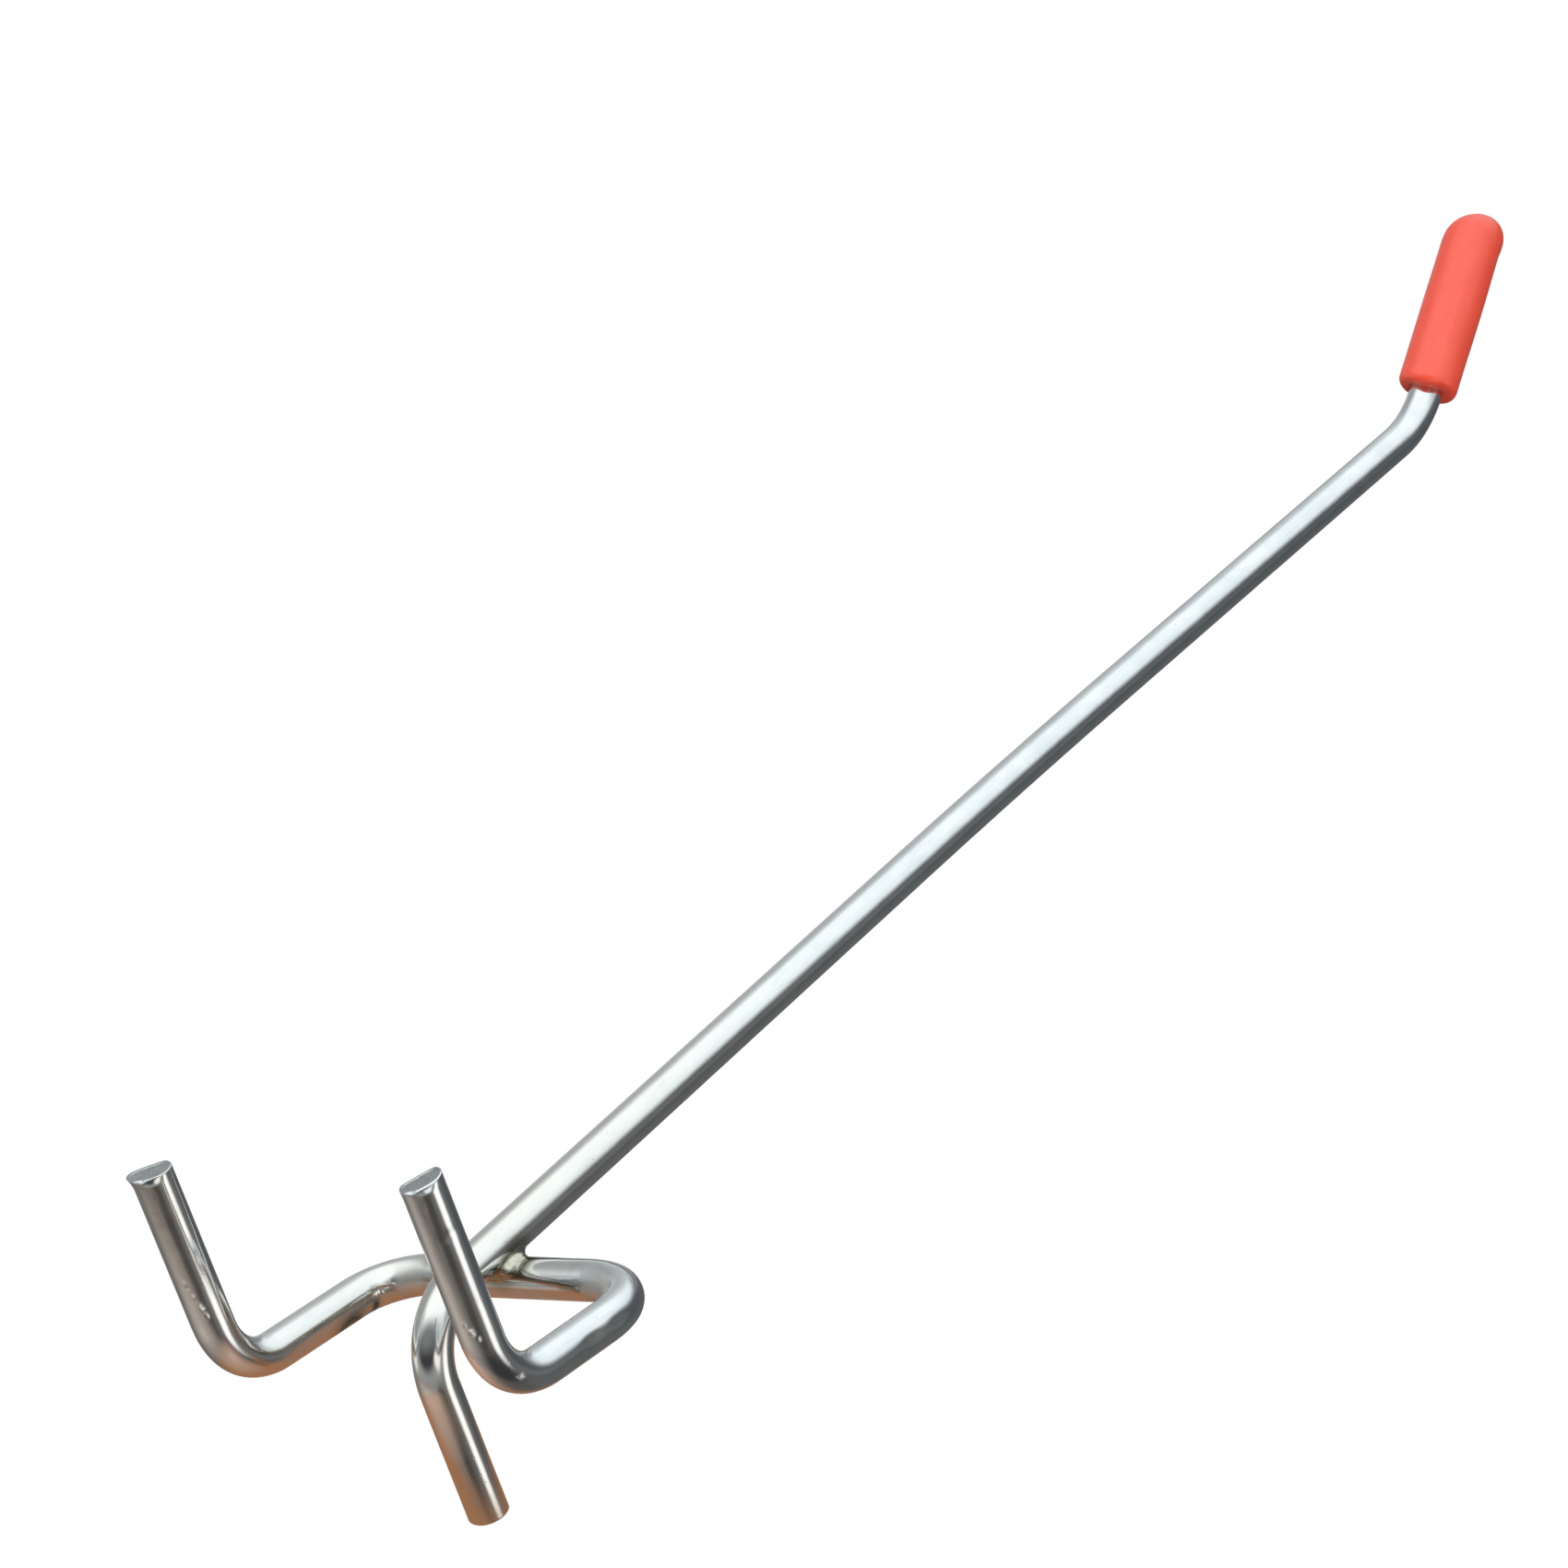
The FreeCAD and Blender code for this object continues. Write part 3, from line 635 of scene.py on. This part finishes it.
# ------------------------------------------------------------------ materials
class Tree:
    """Short-hand for building a node tree."""

    def __init__(self, tree):
        self.tree = tree
        tree.nodes.clear()

    def add(self, kind, **props):
        node = self.tree.nodes.new(kind)
        for k, v in props.items():
            setattr(node, k, v)
        return node

    def put(self, socket, value):
        if isinstance(value, bpy.types.NodeSocket):
            self.tree.links.new(value, socket)
        else:
            socket.default_value = value

    def math(self, op, a, b=None, clamp=False):
        node = self.add("ShaderNodeMath", operation=op, use_clamp=clamp)
        self.put(node.inputs[0], a)
        if b is not None:
            self.put(node.inputs[1], b)
        return node.outputs[0]

    def vec(self, op, a, b):
        node = self.add("ShaderNodeVectorMath", operation=op)
        self.put(node.inputs[0], a)
        self.put(node.inputs[1], b)
        return node.outputs["Value"] if op == "DOT_PRODUCT" else node.outputs["Vector"]

    def remap(self, value, a, b, c, d, kind="LINEAR"):
        node = self.add("ShaderNodeMapRange", interpolation_type=kind, clamp=True)
        for socket, x in zip(node.inputs[:5], (value, a, b, c, d)):
            self.put(socket, x)
        return node.outputs[0]

    def noise(self, vector, scale, detail=3.0, rough=0.55, distort=0.0):
        node = self.add("ShaderNodeTexNoise")
        self.put(node.inputs["Vector"], vector)
        node.inputs["Scale"].default_value = scale
        node.inputs["Detail"].default_value = detail
        node.inputs["Roughness"].default_value = rough
        node.inputs["Distortion"].default_value = distort
        return node.outputs[0]

    def spots(self, vector, scale):
        node = self.add("ShaderNodeTexVoronoi")
        self.put(node.inputs["Vector"], vector)
        node.inputs["Scale"].default_value = scale
        return node.outputs["Distance"], node.outputs["Color"]

    def mix(self, factor, a, b):
        node = self.add("ShaderNodeMix", data_type="RGBA")
        self.put(node.inputs["Factor"], factor)
        self.put(node.inputs[6], a)
        self.put(node.inputs[7], b)
        return node.outputs[2]

    def bump(self, height, distance, strength=1.0, normal=None):
        node = self.add("ShaderNodeBump")
        node.inputs["Strength"].default_value = strength
        node.inputs["Distance"].default_value = distance
        self.put(node.inputs["Height"], height)
        if normal is not None:
            self.put(node.inputs["Normal"], normal)
        return node.outputs[0]

    def attribute(self, name):
        return self.add("ShaderNodeAttribute", attribute_name=name)

    def surface(self, **values):
        shader = self.add("ShaderNodeBsdfPrincipled")
        for k, v in values.items():
            self.put(shader.inputs[k], v)
        out = self.add("ShaderNodeOutputMaterial")
        self.tree.links.new(shader.outputs[0], out.inputs["Surface"])


def material(name):
    m = bpy.data.materials.new(name)
    m.use_nodes = True
    return m, Tree(m.node_tree)


def rgba(r, g, b):
    return (r, g, b, 1.0)


def plated_wire():
    m, t = material("bright_plated_wire")
    flow = t.attribute("flow").outputs["Vector"]
    heat = t.attribute("heat").outputs["Fac"]
    drawn = t.noise(t.vec("MULTIPLY", flow, (3.6, 3.6, 0.10)), 1.0, 4.0, 0.6)  # lines left by drawing the wire
    fine = t.noise(t.vec("MULTIPLY", flow, (17.0, 17.0, 0.45)), 1.0, 3.0, 0.6)
    cloud = t.noise(t.vec("MULTIPLY", flow, (0.55, 0.55, 0.30)), 1.0, 3.0, 0.5, 0.4)  # uneven plating
    pit, pick = t.spots(t.vec("MULTIPLY", flow, (1.0, 1.0, 0.8)), 2.1)
    chosen = t.remap(t.vec("DOT_PRODUCT", pick, (0.8, 0.15, 0.05)), 0.62, 0.70, 0.0, 1.0)
    pits = t.math("MULTIPLY", t.remap(pit, 0.05, 0.16, 1.0, 0.0, "SMOOTHSTEP"), chosen)
    base = t.mix(t.remap(cloud, 0.35, 0.68, 0.0, 1.0), rgba(0.655, 0.675, 0.69), rgba(0.735, 0.745, 0.745))
    base = t.mix(t.remap(drawn, 0.52, 0.75, 0.0, 0.35), base, rgba(0.56, 0.57, 0.575))
    # painted warm reflection: the plating tinted warmer over the base of the hook
    base = t.mix(t.attribute("warm").outputs["Fac"], base, rgba(0.735, 0.715, 0.665))
    base = t.mix(t.math("MULTIPLY", pits, 0.5), base, rgba(0.36, 0.35, 0.33))
    stain = t.math("MULTIPLY", heat, t.remap(cloud, 0.25, 0.7, 0.35, 1.0), True)
    base = t.mix(stain, base, rgba(0.47, 0.41, 0.30))
    # painted shade: the wires darkened to dark olive close round the weld, standing in for the shade in the creases
    # beside the bead
    base = t.mix(t.math("MULTIPLY", t.attribute("painted_crease_shade").outputs["Fac"], 0.75), base, rgba(0.17, 0.15, 0.10))
    # painted dark reflection: a dark olive colour, a little rougher and less metallic, laid where dark surroundings
    # would be reflected
    dark_reflection_mask = t.math("MULTIPLY", t.attribute("painted_dark_reflection").outputs["Fac"], t.remap(cloud, 0.25, 0.6, 0.90, 1.0), True)
    cut = t.attribute("cut").outputs["Fac"]
    torn = t.noise(t.vec("MULTIPLY", flow, (5.0, 5.0, 5.0)), 1.0, 4.0, 0.65)
    base = t.mix(cut, base, t.mix(t.remap(torn, 0.3, 0.7, 0.0, 1.0), rgba(0.36, 0.375, 0.38), rgba(0.54, 0.56, 0.565)))
    rub = t.noise(t.vec("MULTIPLY", flow, (1.5, 1.5, 0.28)), 1.0, 4.0, 0.62, 0.6)  # where it has been rubbed in use
    rubbed = t.remap(rub, 0.52, 0.70, 0.0, 1.0, "SMOOTHSTEP")
    base = t.mix(t.math("MULTIPLY", rubbed, 0.30), base, rgba(0.60, 0.605, 0.60))
    flake = t.noise(t.vec("MULTIPLY", flow, (7.0, 7.0, 5.0)), 1.0, 3.0, 0.6)
    # pale spots: partly scraped plating, partly painted highlights in place of glints; paler, rougher and less metallic
    # there
    scuff_and_glint = t.math("MULTIPLY", t.attribute("scuff_and_glint").outputs["Fac"], t.remap(flake, 0.36, 0.52, 0.25, 1.5), True)
    base = t.mix(scuff_and_glint, base, rgba(0.80, 0.79, 0.77))
    base = t.mix(dark_reflection_mask, base, rgba(0.055, 0.105, 0.105))
    metal = t.remap(scuff_and_glint, 0.0, 1.0, 1.0, 0.25)
    metal = t.math("MULTIPLY", metal, t.remap(dark_reflection_mask, 0.0, 1.0, 1.0, 0.86))
    rough = t.remap(cloud, 0.3, 0.7, 0.085, 0.15)
    rough = t.math("ADD", rough, t.math("MULTIPLY", rubbed, 0.06))
    rough = t.math("ADD", rough, t.math("MULTIPLY", t.attribute("pressed").outputs["Fac"], 0.36))
    rough = t.math("ADD", rough, t.math("MULTIPLY", scuff_and_glint, 0.35))
    rough = t.math("ADD", rough, t.math("MULTIPLY", cut, 0.22))
    rough = t.math("ADD", rough, t.math("MULTIPLY", dark_reflection_mask, 0.10))
    rough = t.math("ADD", rough, t.remap(fine, 0.45, 0.8, 0.0, 0.07))
    rough = t.math("ADD", rough, t.math("MULTIPLY", stain, 0.16))
    rough = t.math("ADD", rough, t.math("MULTIPLY", pits, 0.22), True)
    normal = t.bump(drawn, 8.0e-7, 0.6)
    normal = t.bump(fine, 2.0e-7, 0.6, normal)
    normal = t.bump(t.math("SUBTRACT", 1.0, pits), 9.0e-6, 0.5, normal)
    t.surface(**{"Base Color": base, "Metallic": metal, "Roughness": rough, "Normal": normal})
    return m


def weld_metal():
    m, t = material("plated_weld")
    where = t.add("ShaderNodeTexCoord").outputs["Object"]
    lump = t.noise(where, 900.0, 3.0, 0.5)
    grain = t.noise(where, 5200.0, 3.0, 0.6)
    base = t.mix(t.remap(lump, 0.34, 0.64, 0.0, 1.0), rgba(0.36, 0.335, 0.25), rgba(0.57, 0.555, 0.465))
    base = t.mix(t.remap(grain, 0.52, 0.72, 0.0, 0.4), base, rgba(0.30, 0.28, 0.21))
    rough = t.remap(lump, 0.3, 0.7, 0.26, 0.15)
    normal = t.bump(lump, 6.0e-6, 0.6)
    normal = t.bump(grain, 1.5e-6, 0.6, normal)
    t.surface(**{"Base Color": base, "Metallic": 1.0, "Roughness": rough, "Normal": normal})
    return m


def dipped_vinyl():
    m, t = material("coral_vinyl")
    flow = t.attribute("flow").outputs["Vector"]
    cloud = t.noise(flow, 0.45, 3.0, 0.5)
    runs = t.noise(t.vec("MULTIPLY", flow, (1.6, 1.6, 0.22)), 1.0, 3.0, 0.55)  # slow runs left by dipping
    skin = t.noise(flow, 9.0, 4.0, 0.6)
    speck, pick = t.spots(flow, 2.6)
    chosen = t.remap(t.vec("DOT_PRODUCT", pick, (0.7, 0.2, 0.1)), 0.66, 0.72, 0.0, 1.0)
    dust = t.math("MULTIPLY", t.remap(speck, 0.04, 0.11, 1.0, 0.0, "SMOOTHSTEP"), chosen)
    base = t.mix(t.remap(cloud, 0.35, 0.65, 0.0, 1.0), rgba(0.83, 0.070, 0.033), rgba(0.86, 0.079, 0.038))
    base = t.mix(t.remap(runs, 0.5, 0.75, 0.0, 0.35), base, rgba(0.78, 0.051, 0.023))
    base = t.mix(t.math("MULTIPLY", dust, 0.22), base, rgba(0.85, 0.30, 0.24))
    rough = t.remap(runs, 0.35, 0.65, 0.30, 0.37)
    rough = t.math("ADD", rough, t.remap(skin, 0.4, 0.7, 0.0, 0.05))
    normal = t.bump(runs, 1.0e-5, 0.3)
    normal = t.bump(skin, 1.5e-6, 0.6, normal)
    normal = t.bump(dust, 6.0e-6, 0.6, normal)
    t.surface(
        **{
            "Base Color": base,
            "Roughness": rough,
            "Normal": normal,
            "IOR": 1.48,
            "Specular IOR Level": 0.9,
            "Subsurface Weight": 0.12,
            "Subsurface Radius": (1.0, 0.22, 0.12),
            "Subsurface Scale": 0.0006,
        }
    )
    return m


def floor_card():
    m, t = material("pale_floor")
    where = t.add("ShaderNodeTexCoord").outputs["Object"]
    cloud = t.noise(where, 1.4, 2.0, 0.5)
    glow = t.add("ShaderNodeEmission")
    t.put(glow.inputs["Color"], t.mix(cloud, rgba(0.992, 0.993, 0.994), rgba(0.998, 0.998, 0.998)))
    out = t.add("ShaderNodeOutputMaterial")
    t.tree.links.new(glow.outputs[0], out.inputs["Surface"])
    return m


wire_metal = plated_wire()
for ob, mat in ((peg_wire, wire_metal), (arm_wire, wire_metal), (weld, weld_metal()), (cap, dipped_vinyl())):
    ob.data.materials.clear()
    ob.data.materials.append(mat)
for ob, node, slot in (
    (arm_wire, "arm_wire", "wire"),
    (peg_wire, "peg_wire", "wire"),
    (weld, "weld_bead", "weld"),
    (cap, "tip_cap", "cap"),
):
    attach(ob, "root")
    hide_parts(node)


# ------------------------------------------------------------------ floor, light and camera
def sweep(low, reach, rise):
    """A round pale floor whose edge curves up into a wall."""
    outline = [(0.02, low)] + [(reach * k / 12, low) for k in range(1, 13)]
    for k in range(1, 13):
        a = math.pi / 2 * k / 12
        outline.append((reach + rise * math.sin(a), low + rise * (1 - math.cos(a))))
    outline.append((reach + rise, low + rise * 3))
    verts, faces, m = [(0, 0, low)], [], 64
    for r, z in outline:
        for k in range(m):
            a = 2 * math.pi * k / m
            verts.append((r * math.cos(a), r * math.sin(a), z))
    for k in range(m):
        faces.append((0, 1 + k, 1 + (k + 1) % m))
    for i in range(len(outline) - 1):
        for k in range(m):
            a, b = 1 + i * m + k, 1 + i * m + (k + 1) % m
            faces.append((a, a + m, b + m, b))
    mesh = bpy.data.meshes.new("floor")
    mesh.from_pydata(verts, [], faces)
    mesh.polygons.foreach_set("use_smooth", np.ones(len(mesh.polygons), bool))
    ob = bpy.data.objects.new("floor", mesh)
    scene.collection.objects.link(ob)
    return ob


floor = sweep(-0.085, 2.2, 1.0)
floor.location = (0.0, 0.08, 0.0)
floor.data.materials.append(floor_card())
floor.visible_glossy = False
floor.visible_diffuse = False
floor.visible_shadow = False

def bounce_card(middle, half, colour, turn=0.0, solid=0.45):
    """A warm oval card below the pegs, seen only in reflections; it fades out from solid to its edge."""
    m, t = material("warm_card")
    fade = t.attribute("fade").outputs["Fac"]
    glow = t.add("ShaderNodeEmission")
    glow.inputs["Color"].default_value = rgba(*colour)
    clear = t.add("ShaderNodeBsdfTransparent")
    both = t.add("ShaderNodeMixShader")
    t.put(both.inputs[0], fade)
    t.put(both.inputs[1], clear.outputs[0])
    t.put(both.inputs[2], glow.outputs[0])
    out = t.add("ShaderNodeOutputMaterial")
    t.tree.links.new(both.outputs[0], out.inputs["Surface"])
    rings, sides = 12, 48
    verts, values = [tuple(middle)], [1.0]
    c, s = math.cos(math.radians(turn)), math.sin(math.radians(turn))
    for i in range(1, rings + 1):
        for k in range(sides):
            a = 2 * math.pi * k / sides
            q = i / rings
            u, v = half[0] * q * math.cos(a), half[1] * q * math.sin(a)
            verts.append((middle[0] + u * c - v * s, middle[1] + u * s + v * c, middle[2] - half[2] * q * q))
            values.append(min(1.0, (1 - q) / (1 - solid)))
    faces = [(0, 1 + k, 1 + (k + 1) % sides) for k in range(sides)]
    for i in range(rings - 1):
        for k in range(sides):
            a, b = 1 + i * sides + k, 1 + i * sides + (k + 1) % sides
            faces.append((a, a + sides, b + sides, b))
    mesh = bpy.data.meshes.new("warm_card")
    mesh.from_pydata([tuple(c * MM for c in v) for v in verts], [], faces)
    ob = bpy.data.objects.new("warm_card", mesh)
    scene.collection.objects.link(ob)
    point_values(ob, "fade", values)
    mesh.materials.append(m)
    ob.visible_camera = ob.visible_diffuse = ob.visible_shadow = False
    return ob


bounce_card((-28, -52, -18.5), (62, 45, 1), (0.66, 0.57, 0.50), 0, 0.0)
bounce_card((-4, -12, -9.5), (18, 12, 0.5), (0.68, 0.46, 0.36), 0, 0.1)
bounce_card((-15, 2, -16), (26, 28, 1), (0.42, 0.205, 0.11), 0, 0.5)
bounce_card((-4, 8.5, -6), (14, 4, 0.3), (0.38, 0.225, 0.155), 46, 0.4)

world = bpy.data.worlds.new("studio")
scene.world = world
world.use_nodes = True
w = Tree(world.node_tree)
ray = w.add("ShaderNodeTexCoord").outputs["Generated"]
height = w.add("ShaderNodeSeparateXYZ")
w.put(height.inputs[0], ray)
ramp = w.add("ShaderNodeValToRGB")
w.put(ramp.inputs[0], w.math("MULTIPLY_ADD", height.outputs["Z"], 0.5))
ramp.inputs[0].links[0].from_node.inputs[2].default_value = 0.5


def pole(az, el):
    a, e = math.radians(az), math.radians(el)
    return Vector((math.cos(e) * math.cos(a), math.cos(e) * math.sin(a), math.sin(e)))


steps = [
    (-90, (0.13, 0.115, 0.105)),
    (-50, (0.15, 0.135, 0.125)),
    (-30, (0.18, 0.165, 0.15)),
    (-16, (0.24, 0.23, 0.215)),
    (-6, (0.38, 0.385, 0.38)),
    (3, (0.72, 0.76, 0.77)),
    (14, (1.10, 1.19, 1.22)),
    (36, (1.26, 1.36, 1.39)),
    (90, (1.36, 1.42, 1.44)),
]
stops = ramp.color_ramp.elements
while len(stops) < len(steps):
    stops.new(0.5)
for stop, (el, colour) in zip(stops, steps):
    stop.position = 0.5 + 0.5 * math.sin(math.radians(el))
    stop.color = rgba(*colour)
sky = ramp.outputs[0]

# soft-edged panels and flags round the table: (azimuth, elevation, half width, half height, roll, softness, share, colour)
cards = [
    (68, -22, 42, 24, 0, 0.4, 0.95, (0.095, 0.112, 0.122)),
    (38, -20, 16, 10, 0, 0.5, 0.8, (0.20, 0.20, 0.195)),
    (80, -55, 50, 18, 0, 0.5, 0.6, (0.15, 0.16, 0.16)),
    (168, 26, 42, 32, 0, 0.4, 0.9, (0.33, 0.34, 0.34)),
    (134, 2, 14, 18, 0, 0.5, 0.9, (0.52, 0.54, 0.55)),
    (112, -1, 17, 11, 0, 0.5, 0.85, (0.24, 0.27, 0.275)),
    (112, -27, 24, 13, 0, 0.5, 0.9, (0.13, 0.12, 0.12)),
    (121, 28, 15, 18, 0, 0.5, 0.45, (0.55, 0.57, 0.58)),
    (-82, 27, 62, 27, 0, 0.35, 0.98, (0.03, 0.031, 0.033)),
    (-88, 40, 48, 15, 0, 0.6, 0.42, (0.50, 0.52, 0.53)),
    (18, 13, 14, 15, 0, 0.6, 0.75, (0.35, 0.36, 0.36)),
    (-160, 3, 16, 8, 0, 0.5, 0.9, (1.10, 1.05, 0.98)),
    (-100, -21, 30, 10, 0, 0.6, 0.8, (0.25, 0.21, 0.18)),
    (-46, -22, 18, 9, 0, 0.5, 0.92, (0.085, 0.072, 0.063)),
    (-38, -52, 42, 20, 0, 0.5, 0.92, (0.040, 0.042, 0.046)),
    (-30, 4, 17, 8, -20, 0.4, 0.95, (1.30, 1.25, 1.20)),
    (12, -20, 15, 13, 0, 0.5, 1.0, (1.50, 1.47, 1.43)),
]
for az, el, half_w, half_h, roll, soft, share, colour in cards:
    c = pole(az, el)
    right = Vector((-math.sin(math.radians(az)), math.cos(math.radians(az)), 0))
    up = c.cross(right)
    turn = Matrix.Rotation(math.radians(roll), 3, c)
    right, up = turn @ right, turn @ up
    x = w.vec("DOT_PRODUCT", ray, tuple(right / math.sin(math.radians(half_w))))
    y = w.vec("DOT_PRODUCT", ray, tuple(up / math.sin(math.radians(half_h))))
    q = w.math("SQRT", w.math("ADD", w.math("MULTIPLY", x, x), w.math("MULTIPLY", y, y)))
    inside = w.remap(q, 1 - soft, 1 + soft, share, 0.0, "SMOOTHSTEP")
    front = w.math("GREATER_THAN", w.vec("DOT_PRODUCT", ray, tuple(c)), 0.0)
    sky = w.mix(w.math("MULTIPLY", inside, front), sky, rgba(*colour))
back = w.add("ShaderNodeBackground")
w.put(back.inputs["Color"], sky)
back.inputs["Strength"].default_value = 1.0
world_out = w.add("ShaderNodeOutputWorld")
world.node_tree.links.new(back.outputs[0], world_out.inputs["Surface"])

def soft_lamp(name, towards, distance, size, power, colour):
    data = bpy.data.lights.new(name, "AREA")
    data.shape, data.size, data.energy, data.color = "DISK", size, power, colour
    ob = bpy.data.objects.new(name, data)
    scene.collection.objects.link(ob)
    aim = Vector((0.0, 0.085, 0.0))
    ob.location = aim + Vector(towards).normalized() * distance
    ob.rotation_mode = "QUATERNION"
    ob.rotation_quaternion = (aim - ob.location).to_track_quat("-Z", "Y")
    ob.visible_glossy = False
    return ob


soft_lamp("key", (-0.25, -0.70, 0.67), 0.9, 0.45, 2.7, (1.0, 0.98, 0.96))
soft_lamp("fill", (0.60, -0.78, -0.16), 0.9, 0.6, 3.7, (1.0, 0.97, 0.94))
soft_lamp("side", (0.85, 0.25, -0.30), 0.9, 0.6, 0.9, (1.0, 0.97, 0.94))

camera = bpy.data.objects.new("camera", bpy.data.cameras.new("camera"))
scene.collection.objects.link(camera)
right = Vector((0.776906, 0.547524, -0.310862))
down = Vector((-0.031619, -0.459180, -0.887781))
ahead = Vector((-0.628822, 0.699551, -0.339427))
stand = Vector((235.790, -208.097, 142.650)) * MM
camera.matrix_world = Matrix(
    (
        (right.x, -down.x, -ahead.x, stand.x),
        (right.y, -down.y, -ahead.y, stand.y),
        (right.z, -down.z, -ahead.z, stand.z),
        (0, 0, 0, 1),
    )
)
camera.data.sensor_width = 36.0
camera.data.lens = 5432.486 / 1700 * 36.0
camera.data.clip_start, camera.data.clip_end = 0.01, 20.0
scene.camera = camera
scene.view_settings.view_transform = "Standard"
